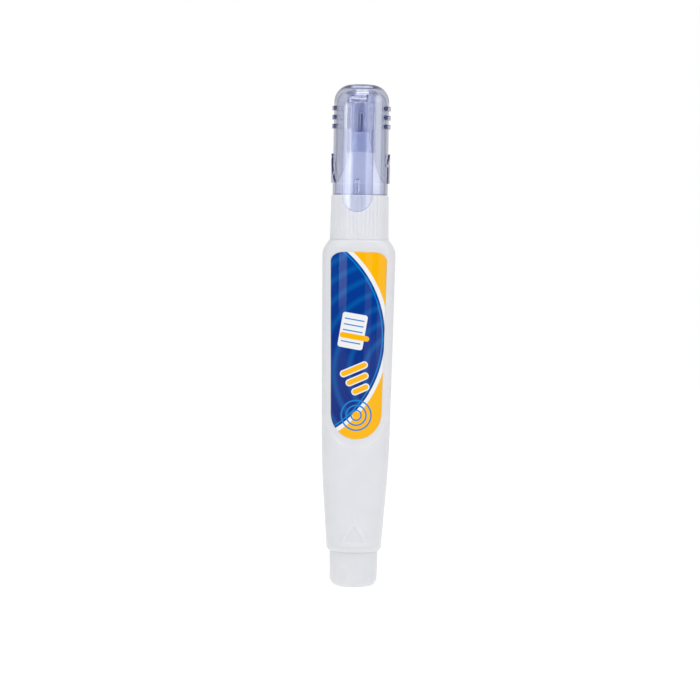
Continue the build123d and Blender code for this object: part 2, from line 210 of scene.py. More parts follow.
def growFromTree(obj, tree, values, sharpAngle):
    # runs a tree on an object and keeps the result as its plain mesh
    modifier = obj.modifiers.new(tree.name, "NODES")
    modifier.node_group = tree
    for item in tree.interface.items_tree:
        if item.in_out == "INPUT" and item.name in values:
            modifier[item.identifier] = values[item.name]
    graph = bpy.context.evaluated_depsgraph_get()
    mesh = bpy.data.meshes.new_from_object(obj.evaluated_get(graph))
    obj.modifiers.remove(modifier)
    obj.data = mesh
    mesh.name = obj.name
    mesh.set_sharp_from_angle(angle=radians(sharpAngle))
    return obj


# material helpers

def newFinish(name):
    material = bpy.data.materials.new(name)
    material.use_nodes = True
    return material, material.node_tree, material.node_tree.nodes["Principled BSDF"]


def addNode(tree, kind, **settings):
    node = tree.nodes.new(kind)
    for key, value in settings.items():
        if hasattr(node, key):
            setattr(node, key, value)
        else:
            node.inputs[key.replace("_", " ")].default_value = value
    return node


def math(tree, operation, first, second=0.0, third=0.0, clamp=False):
    node = tree.nodes.new("ShaderNodeMath")
    node.operation = operation
    node.use_clamp = clamp
    for socket, value in zip(node.inputs, (first, second, third)):
        if hasattr(value, "links"):
            tree.links.new(value, socket)
        else:
            socket.default_value = value
    return node.outputs[0]


def noiseAt(tree, coords, scale, detail):
    node = addNode(tree, "ShaderNodeTexNoise", Scale=scale, Detail=detail, Roughness=0.55)
    tree.links.new(coords, node.inputs["Vector"])
    return node.outputs["Fac"]


def rangeOf(tree, value, low, high, fromLow=0.3, fromHigh=0.7):
    # noise keeps mostly between 0.3 and 0.7
    node = tree.nodes.new("ShaderNodeMapRange")
    tree.links.new(value, node.inputs["Value"])
    node.inputs["From Min"].default_value = fromLow
    node.inputs["From Max"].default_value = fromHigh
    node.inputs["To Min"].default_value = low
    node.inputs["To Max"].default_value = high
    return node.outputs["Result"]


def mixColour(tree, share, first, second):
    node = tree.nodes.new("ShaderNodeMix")
    node.data_type = "RGBA"
    tree.links.new(share, node.inputs[0])
    for socket, value in ((node.inputs[6], first), (node.inputs[7], second)):
        if hasattr(value, "links"):
            tree.links.new(value, socket)
        else:
            socket.default_value = (*value, 1)
    return node.outputs[2]


def bumpFrom(tree, height, depth):
    node = tree.nodes.new("ShaderNodeBump")
    node.inputs["Strength"].default_value = 1.0
    node.inputs["Distance"].default_value = depth
    tree.links.new(height, node.inputs["Height"])
    return node.outputs["Normal"]


def objectCoords(tree):
    return tree.nodes.new("ShaderNodeTexCoord").outputs["Object"]


def mouldedPlastic(name, look):
    # satin moulding: faint mottle in colour and gloss, fine mould grain, a little light let in
    material, tree, shader = newFinish(name)
    coords = objectCoords(tree)
    mottle = noiseAt(tree, coords, look["mottleScale"], 2.0)
    grain = noiseAt(tree, coords, look["grainScale"], 4.0)
    colour = mixColour(tree, rangeOf(tree, mottle, 0, 1), look["colour"], look["colourDeep"])
    tree.links.new(colour, shader.inputs["Base Color"])
    tree.links.new(rangeOf(tree, mottle, *look["roughness"]), shader.inputs["Roughness"])
    tree.links.new(bumpFrom(tree, grain, look["grainDepth"]), shader.inputs["Normal"])
    shader.inputs["IOR"].default_value = look["ior"]
    shader.inputs["Subsurface Weight"].default_value = look["lightIn"]
    shader.inputs["Subsurface Radius"].default_value = (1.0, 1.0, 1.0)
    shader.inputs["Subsurface Scale"].default_value = look["lightDepth"]
    return material


bottleLook = {"colour": (0.76, 0.765, 0.795), "colourDeep": (0.735, 0.742, 0.775), "roughness": (0.34, 0.42),
              "mottleScale": 160, "grainScale": 2600, "grainDepth": 0.000012, "ior": 1.5,
              "lightIn": 0.6, "lightDepth": 0.0005}
headLook = {"colour": (0.755, 0.765, 0.8), "colourDeep": (0.735, 0.745, 0.78), "roughness": (0.3, 0.38),
            "mottleScale": 220, "grainScale": 3200, "grainDepth": 0.000008, "ior": 1.49,
            "lightIn": 0.6, "lightDepth": 0.0004}
bottlePlastic = mouldedPlastic("bottlePlastic", bottleLook)
headPlastic = mouldedPlastic("headPlastic", headLook)


# edge is painted shade: the dark blue given to the cap's edges where light inside the plastic is turned aside
capLook = {"skin": (0.842, 0.868, 0.932), "edge": (0.002, 0.006, 0.15), "tint": (0.5, 0.54, 0.82),
           "density": 20.0, "ior": 1.58, "polish": 0.35, "polishIor": 1.7, "roughness": (0.01, 0.04),
           "flowScale": 210, "flowDepth": 0.000008, "lampsThrough": (0.922, 0.927, 0.948),
           "paintedGlow": (0.03, 0.06, 0.9), "paintedGlowLevel": 0.018}


def capStyrene(look):
    # clear tinted styrene: its colour deepens with each skin and length of plastic that light crosses
    material, tree, shader = newFinish("capStyrene")
    coords = objectCoords(tree)
    flow = noiseAt(tree, coords, look["flowScale"], 1.5)
    # painted shade: where the face attribute marks an edge, the skin colour is mixed towards the dark edge
    # colour
    depth = addNode(tree, "ShaderNodeAttribute", attribute_name="paintedEdgeShade")
    skin = mixColour(tree, depth.outputs["Fac"], look["skin"], look["edge"])
    tree.links.new(skin, shader.inputs["Base Color"])
    shader.inputs["Transmission Weight"].default_value = 1.0
    # a faint painted glow stands for light led along the wall
    shader.inputs["Emission Color"].default_value = (*look["paintedGlow"], 1)
    shader.inputs["Emission Strength"].default_value = look["paintedGlowLevel"]
    shader.inputs["IOR"].default_value = look["ior"]
    # a light polish on top
    shader.inputs["Coat Weight"].default_value = look["polish"]
    shader.inputs["Coat IOR"].default_value = look["polishIor"]
    tree.links.new(rangeOf(tree, flow, *look["roughness"]), shader.inputs["Roughness"])
    tree.links.new(bumpFrom(tree, flow, look["flowDepth"]), shader.inputs["Normal"])
    absorb = addNode(tree, "ShaderNodeVolumeAbsorption", Density=look["density"])
    absorb.inputs["Color"].default_value = (*look["tint"], 1)
    pane = tree.nodes.new("ShaderNodeBsdfTransparent")  # what lamps see, so that the cone inside is lit
    pane.inputs["Color"].default_value = (*look["lampsThrough"], 1)
    choose = tree.nodes.new("ShaderNodeMixShader")
    path = tree.nodes.new("ShaderNodeLightPath")
    output = tree.nodes["Material Output"]
    tree.links.new(path.outputs["Is Shadow Ray"], choose.inputs[0])
    tree.links.new(shader.outputs[0], choose.inputs[1])
    tree.links.new(pane.outputs[0], choose.inputs[2])
    tree.links.new(choose.outputs[0], output.inputs["Surface"])
    tree.links.new(absorb.outputs[0], output.inputs["Volume"])
    return material


def turnedMetal(name, colour, roughness, ringScale, ringDepth):
    # fine turning rings along Z and small changes in gloss
    material, tree, shader = newFinish(name)
    coords = objectCoords(tree)
    stretch = addNode(tree, "ShaderNodeMapping")
    stretch.inputs["Scale"].default_value = (0.04, 0.04, 1.0)
    tree.links.new(coords, stretch.inputs["Vector"])
    rings = noiseAt(tree, stretch.outputs[0], ringScale, 3.0)
    shader.inputs["Base Color"].default_value = (*colour, 1)
    shader.inputs["Metallic"].default_value = 1.0
    tree.links.new(rangeOf(tree, rings, *roughness), shader.inputs["Roughness"])
    tree.links.new(bumpFrom(tree, rings, ringDepth), shader.inputs["Normal"])
    return material


capPlastic = capStyrene(capLook)
tipSteel = turnedMetal("tipSteel", (0.74, 0.74, 0.75), (0.05, 0.1), 9000, 0.000001)
springSteel = turnedMetal("springSteel", (0.55, 0.55, 0.57), (0.22, 0.36), 12000, 0.000002)
ballSteel = turnedMetal("ballSteel", (0.72, 0.72, 0.73), (0.06, 0.14), 4000, 0.000001)
print("finishes ready")


def weldedCopy(name, node):
    # a solid's mesh comes as loose triangles
    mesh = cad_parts[node].data.copy()
    mesh.name = name
    obj = bpy.data.objects.new(name, mesh)
    bpy.context.scene.collection.objects.link(obj)
    bm = bmesh.new()
    bm.from_mesh(mesh)
    bmesh.ops.remove_doubles(bm, verts=bm.verts, dist=0.000001)
    bm.to_mesh(mesh)
    bm.free()
    return obj


def seat(obj, body, material, node):
    obj.data.materials.clear()
    obj.data.materials.append(material)
    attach(obj, body)
    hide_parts(node)
    return obj


# bottle

bottleShape = {"base": 9.3, "length": 82.2, "baseRadius": 7.13, "baseRound": 1.0, "baseTuck": 0.75,
               "tuckPower": 1.8, "bend": 23.7, "blend": 7.0,
               "bendWidth": 8.85, "bendDepth": 7.35, "topWidth": 9.67, "topDepth": 7.75,
               "shoulderRadius": 7.7, "shoulderDrop": 5.5, "shoulderOverlap": 0.2, "shoulderSoft": 0.3,
               "wall": 1.1, "neckRadius": 6.1, "neckBore": 4.6, "neckTop": 100.5, "plugHole": 5.32,
               "baseLip": 2.0, "frontSteps": 72, "backSteps": 152, "frontHalf": 32, "innerStep": 3.0}
panelShape = {"foot": 37.15, "top": 89.1, "footRadius": 7.55, "topHalfWidth": 8.3, "corner": 3.8,
              "depth": 0.17, "edge": 0.7}
triangleShape = {"foot": 10.9, "height": 7.9, "halfWidth": 4.55, "line": 1.25, "rise": 0.16, "bevel": 0.22,
                 "corner": 0.25}


def taperAt(height, base, bend, top):
    shape = bottleShape
    lowSlope = (bend - base) / shape["bend"]
    highSlope = (top - bend) / (shape["length"] - shape["bend"])
    start = shape["bend"] - shape["blend"]
    if height <= start:
        return base + lowSlope * height
    if height >= shape["bend"] + shape["blend"]:
        return bend + highSlope * (height - shape["bend"])
    d = height - start
    return base + lowSlope * height + (highSlope - lowSlope) * d * d / (4 * shape["blend"])


def ovalAt(z):
    height = z - bottleShape["base"]
    width = taperAt(height, bottleShape["baseRadius"], bottleShape["bendWidth"], bottleShape["topWidth"])
    depth = taperAt(height, bottleShape["baseRadius"], bottleShape["bendDepth"], bottleShape["topDepth"])
    return width, depth


def shoulderAt(z, inset=0.0):
    shape = bottleShape
    middle = shape["topWidth"] + shape["shoulderOverlap"] - shape["shoulderRadius"]
    rise = max(0.0, z - (shape["base"] + shape["length"] - shape["shoulderDrop"]))
    return middle + sqrt(max(0.0, (shape["shoulderRadius"] - inset) ** 2 - rise * rise))


def tongueDistance(x, z, shape):
    # signed distance to a tongue outline with rounded top corners and a half-round foot
    arcEnds = shape["foot"] + shape["footRadius"]
    if z < arcEnds:
        return hypot(x, z - arcEnds) - shape["footRadius"]
    share = (z - arcEnds) / (shape["top"] - arcEnds)
    side = shape["footRadius"] + (shape["topHalfWidth"] - shape["footRadius"]) * share
    r = shape["corner"]
    qx, qz = abs(x) - side + r, z - shape["top"] + r
    return min(max(qx, qz), 0) + hypot(max(qx, 0), max(qz, 0)) - r


def ovalRadius(width, depth, angle):
    return width * depth / hypot(depth * cos(angle), width * sin(angle))


def triangleRise(x, z):
    # height of the raised frame near the foot, by the distance inside its outline
    shape = triangleShape
    up = z - shape["foot"]
    slant = hypot(shape["halfWidth"], shape["height"])
    inward = (shape["halfWidth"] * (shape["height"] - up) - shape["height"] * abs(x)) / slant
    depth = softMin(up, inward, shape["corner"])
    outer = softStep(depth / shape["bevel"])
    inner = softStep((shape["line"] - depth) / shape["bevel"])
    return shape["rise"] * outer * inner


def bottleRadius(angle, z):
    shape = bottleShape
    width, depth = ovalAt(z)
    plain = ovalRadius(width, depth, angle)
    away = tongueDistance(plain * cos(angle), z, panelShape)
    sunk = panelShape["depth"] * softStep(0.5 - away / panelShape["edge"])
    radius = softMin(ovalRadius(width - sunk, depth - sunk, angle), shoulderAt(z), shape["shoulderSoft"])
    height = z - shape["base"]
    if height < shape["baseRound"]:
        radius -= shape["baseTuck"] * (1 - height / shape["baseRound"]) ** shape["tuckPower"]
    return radius + triangleRise(radius * cos(angle), z) if sin(angle) < 0 else radius


def bottleAngles():
    # columns stand closer together in front, where the raised frame is
    shape = bottleShape
    half = shape["frontHalf"]
    front = [-90 - half + 2 * half * i / shape["frontSteps"] for i in range(shape["frontSteps"])]
    back = [-90 + half + (360 - 2 * half) * i / shape["backSteps"] for i in range(shape["backSteps"])]
    return [radians(a) for a in front + back]


def makeBottle():
    shape, panel = bottleShape, panelShape
    angles = bottleAngles()
    base, top = shape["base"], shape["base"] + shape["length"]

    def ring(z, radiusAt):
        radii = [radiusAt(a, z) for a in angles]
        return [(r * cos(a), r * sin(a), z) for r, a in zip(radii, angles)]

    def circle(radius, z):
        return ring(z, lambda angle, height: radius)

    def innerRadius(angle, z):
        width, depth = ovalAt(z)
        inner = ovalRadius(width - shape["wall"], depth - shape["wall"], angle)
        return min(inner, shoulderAt(z, shape["wall"]))

    # where each zone starts and how far apart its rows stand, closest where there is detail
    heights = []
    frameTop = triangleShape["foot"] + triangleShape["height"]
    stops = [(base, 0.1), (base + shape["baseRound"], 0.13), (frameTop + 0.3, 0.8),
             (panel["foot"] - 1, 0.25), (panel["foot"] + 10, 0.9), (panel["top"] - 5, 0.2), (top, 0)]
    for (low, step), (high, _) in zip(stops, stops[1:]):
        heights += spread(low, high, step)[:-1]
    rings = [ring(z, bottleRadius) for z in heights + [top]]
    rings += [circle(shape["neckRadius"], top), circle(shape["neckRadius"], shape["neckTop"]),
              circle(shape["neckBore"], shape["neckTop"]), circle(shape["neckBore"], top - shape["wall"])]
    lip = base + shape["baseLip"]
    rings += [ring(z, innerRadius) for z in reversed(spread(lip, top - shape["wall"], shape["innerStep"]))]
    rings += [circle(shape["plugHole"], lip), circle(shape["plugHole"], base)]
    return softShade(skinRings("bottleShell", rings), 40)


bottleShell = seat(makeBottle(), "barrel", bottlePlastic, "bottle")
print("bottle:", len(bottleShell.data.polygons), "faces")


# tail, its front half turned into both halves

tailShape = {"top": 9.28, "topRadius": 6.36, "footRadius": 6.22, "round": 2.2, "roundSteps": 12, "flat": 2.0,
             "floor": 1.6, "plugRadius": 5.3, "plugTop": 14.8, "bore": 4.4, "bead": 5.5, "beadFoot": 11.35,
             "beadSlope": 0.5, "scoopAngle": 31, "scoopRadius": 6.5, "scoopDepth": 0.42, "scoopHeight": 5.4,
             "scoopSoft": 0.02, "rowStep": 0.2, "columns": 144}


def scoopRadiusAt(angle, z):
    shape = tailShape
    away = shape["footRadius"] - shape["scoopDepth"] + shape["scoopRadius"]
    rise = sqrt(shape["scoopDepth"] * (2 * shape["scoopRadius"] - shape["scoopDepth"]))
    above = max(0.0, z - (shape["scoopHeight"] - rise))
    reach = shape["scoopRadius"] ** 2 - above * above - (away * sin(angle)) ** 2
    return away * cos(angle) - sqrt(reach) if reach > 0 else away  # beyond the scoop nothing is cut


def sectorObject(name, rows, sector, columns, radiusAt, middle=0.0):
    # one sector of a turned form, whose radius may change to each side of the sector's middle
    verts, faces = [], []
    for row in rows:
        for c in range(columns + 1):
            angle = sector * (c / columns - 0.5)
            r = radiusAt(angle, row)
            verts.append((r * cos(middle + angle), r * sin(middle + angle), row[1]))
    wide = columns + 1
    for r in range(len(rows) - 1):
        for c in range(columns):
            a = r * wide + c
            faces.append((a, a + 1, a + 1 + wide, a + wide))
    return meshObject(name, verts, faces)


def makeTail():
    shape = tailShape
    foot, plug = shape["footRadius"], shape["plugRadius"]
    rows = [(0.0, 0.0), (shape["flat"], 0.0)]
    rows += roundCorner((foot - shape["round"], shape["round"]), shape["round"], -90, 0, shape["roundSteps"])
    slope = (shape["topRadius"] - foot) / (shape["top"] - shape["round"])
    rows += [(foot + slope * (z - shape["round"]), z)
             for z in spread(shape["round"], shape["top"], shape["rowStep"])[1:]]
    scooped = {id(row) for row in rows if row[0] > shape["flat"]}
    rows += [(plug, shape["top"]), (plug, shape["beadFoot"]), (shape["bead"], shape["beadFoot"]),
             (plug, shape["beadFoot"] + shape["beadSlope"]), (plug, shape["plugTop"]),
             (shape["bore"], shape["plugTop"]), (shape["bore"], shape["floor"]), (0.0, shape["floor"])]

    def radiusAt(angle, row):
        if id(row) not in scooped:
            return row[0]
        scoop = scoopRadiusAt(abs(angle) - radians(shape["scoopAngle"]), row[1])
        return softMin(row[0], scoop, shape["scoopSoft"])

    return sectorObject("tailEnd", rows, pi, shape["columns"], radiusAt, -pi / 2)


aroundAxis = aroundAxisTree()
tailEnd = growFromTree(makeTail(), aroundAxis, {"Count": 2, "Finish": bottlePlastic}, 40)
seat(tailEnd, "barrel", bottlePlastic, "tail_plug")
print("tail:", len(tailEnd.data.polygons), "faces")


# nozzle head, one rib's sector turned into the whole collar and cone

headShape = {"foot": 91.54, "skirt": 91.46, "top": 103.05, "footRadius": 7.72, "topRadius": 7.53,
             "footLedge": 0.2, "round": 0.08, "roundSteps": 5, "chamfer": 0.2, "lip": 0.6,
             "lipGap": (-0.02, 0.1), "rowStep": 1.3,
             "ribs": 44, "grooveDepth": 0.14, "grooveRadius": 0.34, "columns": 12,
             "spigotRadius": 6.25, "spigotTop": 106.25, "spigotRound": 0.4, "cornerSteps": 4,
             "coneFoot": 5.7, "coneHollow": 0.55, "coneSteps": 18,
             "noseRadius": 2.0, "noseTop": 119.55, "noseRound": 0.25, "noseStart": 10,
             "socket": 6.12, "ceiling": 100.55, "seal": 4.58, "sealFoot": 95.95, "seatBore": 2.3,
             "chamberFoot": 102.95, "chamber": 1.75, "chamberTop": 112.15, "rodBore": 0.65,
             "tipFoot": 116.2, "tipBore": 0.82}


def coneArc():
    # circle through the cone's foot, its hollow middle and the nose
    shape = headShape
    p1 = (shape["coneFoot"], shape["spigotTop"])
    p3 = (shape["noseRadius"], shape["noseTop"])
    p2 = ((p1[0] + p3[0]) / 2 - shape["coneHollow"], (p1[1] + p3[1]) / 2)
    ax, ay, bx, by = p2[0] - p1[0], p2[1] - p1[1], p3[0] - p1[0], p3[1] - p1[1]
    d = 2 * (ax * by - ay * bx)
    ux = (by * (ax * ax + ay * ay) - ay * (bx * bx + by * by)) / d
    uy = (ax * (bx * bx + by * by) - bx * (ax * ax + ay * ay)) / d
    centre, radius = Vector((p1[0] + ux, p1[1] + uy)), hypot(ux, uy)
    points = []
    for z in spread(p1[1], p3[1] - shape["noseRound"], (p3[1] - p1[1]) / shape["coneSteps"]):
        points.append((centre.x - sqrt(radius * radius - (z - centre.y) ** 2), z))
    return points


def makeHead():
    shape = headShape
    lean = (shape["topRadius"] - shape["footRadius"]) / (shape["top"] - shape["foot"])

    def collarRadius(z):
        return shape["footRadius"] + lean * (z - shape["foot"])

    lipEnd, ribStart = (shape["foot"] + shape["lip"] + gap for gap in shape["lipGap"])
    skin = [(shape["socket"], shape["foot"]), (shape["footRadius"] - shape["footLedge"], shape["foot"])]
    skin += roundCorner((shape["footRadius"] - shape["round"], shape["skirt"] + shape["round"]),
                        shape["round"], -90, 0, shape["roundSteps"])
    skin += [(collarRadius(lipEnd), lipEnd)]
    grooved = [(collarRadius(z), z)
               for z in spread(ribStart, shape["top"] - shape["chamfer"], shape["rowStep"])]
    grooved += [(shape["topRadius"] - shape["chamfer"], shape["top"])]
    spigotEnd = shape["spigotTop"] - shape["spigotRound"]
    spigot = [(shape["spigotRadius"], shape["top"]), (shape["spigotRadius"], spigotEnd)]
    spigot += roundCorner((shape["spigotRadius"] - shape["spigotRound"], spigotEnd),
                          shape["spigotRound"], 0, 90, shape["cornerSteps"])[1:]
    cone = coneArc()
    nose = roundCorner((shape["noseRadius"] - shape["noseRound"], shape["noseTop"] - shape["noseRound"]),
                       shape["noseRound"], shape["noseStart"], 90, shape["cornerSteps"])
    inside = [(shape["tipBore"], shape["noseTop"]), (shape["tipBore"], shape["tipFoot"]),
              (shape["rodBore"], shape["tipFoot"]), (shape["rodBore"], shape["chamberTop"]),
              (shape["chamber"], shape["chamberTop"]), (shape["chamber"], shape["chamberFoot"]),
              (shape["seatBore"], shape["chamberFoot"]), (shape["seatBore"], shape["sealFoot"]),
              (shape["seal"], shape["sealFoot"]), (shape["seal"], shape["ceiling"]),
              (shape["socket"], shape["ceiling"]), (shape["socket"], shape["foot"])]
    rows = skin + grooved + spigot + cone + nose + inside
    sector = 2 * pi / shape["ribs"]
    groovedRows = {id(row) for row in grooved}

    def radiusAt(angle, row):
        if id(row) not in groovedRows:
            return row[0]
        away = abs(sector / 2 - abs(angle)) * row[0]  # from the groove's middle, at the sector's edge
        fall = shape["grooveRadius"] - shape["grooveDepth"]
        if away >= sqrt(shape["grooveRadius"] ** 2 - fall * fall):
            return row[0]
        return row[0] - (sqrt(shape["grooveRadius"] ** 2 - away * away) - fall)

    return sectorObject("nozzleHead", rows, sector, shape["columns"], radiusAt)


nozzleHead = growFromTree(makeHead(), aroundAxis, {"Count": headShape["ribs"], "Finish": headPlastic}, 32)
seat(nozzleHead, "barrel", headPlastic, "nozzle_head")
print("nozzle head:", len(nozzleHead.data.polygons), "faces")


# metal tip, needle and spring

tipShape = {"foot": 116.25, "end": 124.75, "radius": 0.8, "bore": 0.5, "mouth": 0.28, "mouthDepth": 0.3,
            "boreEnd": 0.8, "round": 0.45, "roundSteps": 8, "segments": 64}
springShape = {"foot": 103.09, "height": 7.07, "turns": 6, "mean": 1.2, "wire": 0.14, "steps": 32}


def makeTip():
    shape = tipShape
    end, corner = shape["end"], shape["round"]
    outside = [(shape["bore"], shape["foot"]), (shape["radius"], shape["foot"])]
    outside += roundCorner((shape["radius"] - corner, end - corner), corner, 0, 90, shape["roundSteps"])
    inside = [(shape["mouth"], end), (shape["mouth"], end - shape["mouthDepth"]),
              (shape["bore"], end - shape["boreEnd"])]
    return softShade(latheObject("metalTip", outside + inside, shape["segments"]))


def makeSpring():
    shape = springShape
    obj = meshObject("valveSpring", [], [])
    return growFromTree(obj, coilTree(), {
        "Turns": float(shape["turns"]), "Mean Radius": shape["mean"] * mm, "Height": shape["height"] * mm,
        "Foot": shape["foot"] * mm, "Wire Radius": shape["wire"] * mm, "Steps Per Coil": shape["steps"],
        "Finish": springSteel}, 60)


metalTip = seat(makeTip(), "barrel", tipSteel, "metal_tip")
valveNeedle = softShade(weldedCopy("valveNeedle", "valve_needle"))
seat(valveNeedle, "needle", tipSteel, "valve_needle")
valveSpring = seat(makeSpring(), "barrel", springSteel, "valve_spring")
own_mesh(valveSpring)
print("valve ready")


# cap, on a welded copy of its solid, with the gloss of its turned faces set from their true curves

capShape = {"crownRing": (2.6, 127.4), "crownRadius": 4.6, "hollowRing": (2.6, 127.16), "hollowRadius": 3.64,
            "crownSlack": 0.02, "wallFacing": 0.96, "turn": -4.8, "sharp": 0.7, "roundSteps": 4,
            "ribReach": 7.45, "ribHeights": (118.5, 127.5), "ribRound": 0.22,
            "ribFoot": 7.25, "ribEnds": 2.75,
            "sleeveRadius": 3.85, "roofUnder": 130.58, "sleeveRoot": 0.7, "rootSlack": 0.04,
            "rootReach": (3.85, 4.7), "rootHeights": (129.8, 130.58), "rootFacing": (-0.98, -0.05),
            "clipBack": 8.8, "clipFacing": 0.97,
            "neckReach": (6.9, 8.8), "neckSides": (1.7, 2.1), "neckFoot": 125,
            "beadReach": (7.7, 8.5), "beadTop": 108, "beadHalf": 0.7,
            "rimTop": 103.6, "rimReach": 7.3, "rimFacing": -0.15}
# how much painted shade each kind of marked edge gets
paintedShadeShares = {"rib": 1.0, "ribBehind": 0.25, "clip": 0.6, "neck": 0.9, "bead": 0.15, "root": 0.6, "rim": 0.6}


def crownNormal(point, ring, radius, sign):
    r = hypot(point.x, point.y)
    out = Vector((r - ring[0] * mm, point.z - ring[1] * mm))
    if out.x < 0 or out.y < -1e-6 or abs(out.length - radius * mm) > capShape["crownSlack"] * mm:
        return None
    out.normalize()
    return sign * Vector((out.x * point.x / r, out.x * point.y / r, out.y))


def wallNormal(point, facing):
    out = Vector((point.x, point.y, 0)).normalized()
    share = out.dot(facing)
    if abs(share) < capShape["wallFacing"]:
        return None
    return out if share > 0 else -out


def paintedEdgeShade(centre, normal):
    # share of painted shade, a dark edge colour that stands for light turned aside inside the clear plastic:
    # ends of the ribs, edges, neck and bead of the clip, root of the sleeve, rim
    shape = capShape
    spot = Matrix.Rotation(radians(-shape["turn"]), 3, "Z") @ centre / mm
    radius, side, inFront = hypot(spot.x, spot.y), abs(spot.x), spot.y < 0
    outward = Vector((centre.x, centre.y, 0)).normalized().dot(normal)
    atRib = radius > shape["ribFoot"] and between(spot.z, shape["ribHeights"])
    if atRib and side > abs(spot.y) > shape["ribEnds"]:
        return paintedShadeShares["rib" if inFront else "ribBehind"]
    if radius > shape["clipBack"] and abs(outward) < shape["clipFacing"]:
        return paintedShadeShares["clip"]
    atNeck = inFront and between(radius, shape["neckReach"]) and spot.z > shape["neckFoot"]
    if atNeck and between(side, shape["neckSides"]):
        return paintedShadeShares["neck"]
    atBead = inFront and between(radius, shape["beadReach"]) and spot.z < shape["beadTop"]
    if atBead and side < shape["beadHalf"]:
        return paintedShadeShares["bead"]
    atRoot = between(radius, shape["rootReach"]) and between(spot.z, shape["rootHeights"])
    if atRoot and between(normal.z, shape["rootFacing"]):
        return paintedShadeShares["root"]
    atRim = spot.z < shape["rimTop"] and radius < shape["rimReach"]
    return paintedShadeShares["rim"] if atRim and normal.z < shape["rimFacing"] else 0.0


def makeCap():
    shape = capShape
    obj = weldedCopy("clearCap", "cap")
    mesh = obj.data
    bm = bmesh.new()
    bm.from_mesh(mesh)

    def onRib(vert):
        side = hypot(vert.co.x, vert.co.y) > shape["ribReach"] * mm and abs(vert.co.x) > abs(vert.co.y)
        return side and between(vert.co.z / mm, shape["ribHeights"])

    def atRoot(vert):
        away = hypot(vert.co.x, vert.co.y) / mm - shape["sleeveRadius"]
        return max(abs(away), abs(vert.co.z / mm - shape["roofUnder"])) < shape["rootSlack"]

    def roundEdges(edges, radius):
        bmesh.ops.bevel(bm, geom=edges, offset=radius * mm, segments=shape["roundSteps"],
                        profile=0.5, affect="EDGES")

    ribEdges = [e for e in bm.edges
                if all(onRib(v) for v in e.verts) and e.calc_face_angle(0) > shape["sharp"]]
    roundEdges(ribEdges, shape["ribRound"])
    root = [e for e in bm.edges if all(atRoot(v) for v in e.verts)]
    roundEdges(root, shape["sleeveRoot"])
    print("rib edges rounded:", len(ribEdges), "sleeve root edges filled:", len(root))
    bm.to_mesh(mesh)
    bm.free()
    softShade(obj, 30)
    normals = [Vector(corner.vector) for corner in mesh.corner_normals]
    for face in mesh.polygons:
        points = [mesh.vertices[v].co for v in face.vertices]
        ways = [[wallNormal(point, face.normal) for point in points],
                [crownNormal(point, shape["crownRing"], shape["crownRadius"], 1) for point in points],
                [crownNormal(point, shape["hollowRing"], shape["hollowRadius"], -1) for point in points]]
        for way in ways:
            if None not in way:
                for loop, normal in zip(face.loop_indices, way):
                    normals[loop] = normal
    mesh.normals_split_custom_set(normals)
    # painted shade share for each face, read by the cap's material
    depth = mesh.attributes.new("paintedEdgeShade", "FLOAT", "FACE")
    depth.data.foreach_set("value", [paintedEdgeShade(face.center, face.normal) for face in mesh.polygons])
    return obj


clearCap = seat(makeCap(), "cap", capPlastic, "cap")
print("cap:", len(clearCap.data.polygons), "faces")


# label film with a printed pattern of its own

labelShape = {"foot": 39.35, "top": 88.2, "footRadius": 6.65, "topHalfWidth": 7.4, "cornerWide": 3.6,
              "cornerTall": 2.4, "sink": 0.08, "thickness": 0.1, "columns": 60, "rowStep": 0.7}


def labelHalfWidth(z):
    shape = labelShape
    arcEnds = shape["foot"] + shape["footRadius"]
    if z < arcEnds:
        return sqrt(shape["footRadius"] ** 2 - (arcEnds - z) ** 2)
    share = (z - arcEnds) / (shape["top"] - arcEnds)
    side = shape["footRadius"] + (shape["topHalfWidth"] - shape["footRadius"]) * share
    rise = max(0.0, (z - shape["top"]) / shape["cornerTall"] + 1)
    return side - shape["cornerWide"] * (1 - sqrt(1 - rise * rise))


def makeLabel():
    shape = labelShape
    foot, top, tall = shape["foot"], shape["top"], shape["cornerTall"]
    # rows follow the round foot, the straight sides and the round corners
    heights = [foot + shape["footRadius"] * (1 - cos(radians(a))) for a in range(2, 90, 4)]
    heights += spread(foot + shape["footRadius"], top - tall, shape["rowStep"])
    heights += [top - tall + tall * sin(radians(a)) for a in range(5, 91, 5)]
    verts, faces = [], []
    wide = shape["columns"] + 1
    for z in heights:
        width, depth = ovalAt(z)
        width, depth = width - shape["sink"], depth - shape["sink"]
        reach = labelHalfWidth(z)
        for c in range(wide):
            x = reach * (2 * c / shape["columns"] - 1)
            verts.append((x, -depth * sqrt(1 - (x / width) ** 2), z))
    for r in range(len(heights) - 1):
        for c in range(shape["columns"]):
            a = r * wide + c
            faces.append((a, a + 1, a + 1 + wide, a + wide))
    obj = softShade(meshObject("frontLabel", verts, faces), 60)
    film = obj.modifiers.new("film", "SOLIDIFY")
    film.thickness = shape["thickness"] * mm
    film.offset = -1
    return obj


